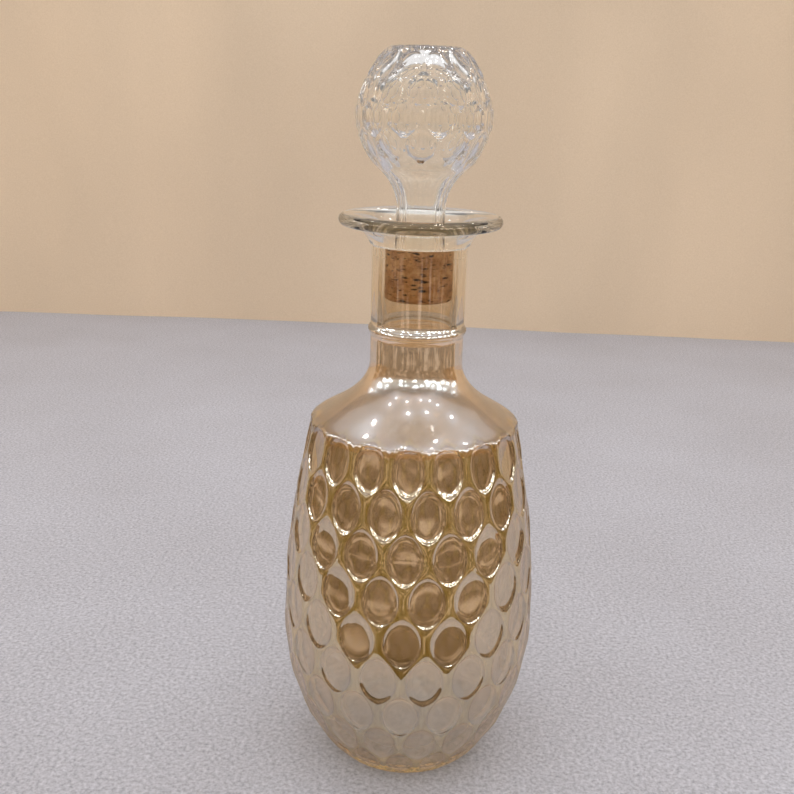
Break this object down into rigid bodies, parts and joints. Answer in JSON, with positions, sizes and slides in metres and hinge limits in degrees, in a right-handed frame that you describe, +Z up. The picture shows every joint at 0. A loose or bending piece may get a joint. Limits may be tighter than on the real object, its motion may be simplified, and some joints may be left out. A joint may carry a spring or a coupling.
{
  "type": "decanter with glass stopper",
  "caption": "Amber lustre glass decanter with oval thumbprints, flared lip and collar, closed by a hollow clear glass stopper with a cork.",
  "frame": {"origin": "centre of the foot, on the surface that the decanter stands on", "axes": "+Z up along the decanter's axis; -Y towards the viewer, through a thumbprint of the top row"},
  "size_m": [0.0972, 0.0974, 0.2656],
  "materials": {
    "amber_glass": "pressed glass with a pale amber lustre, polished",
    "clear_glass": "clear pressed glass, polished",
    "natural_cork": "dry natural cork with dark pits"
  },
  "bodies": {
    "decanter": {"decanter_body": "amber_glass"},
    "stopper_assembly": {"stopper": "clear_glass", "cork": "natural_cork"}
  },
  "joints": [
    {"name": "stopper_lift", "type": "slide", "parent": "decanter", "child": "stopper_assembly", "axis": [0, 0, 1], "range_m": [0, 0.06]}
  ]
}
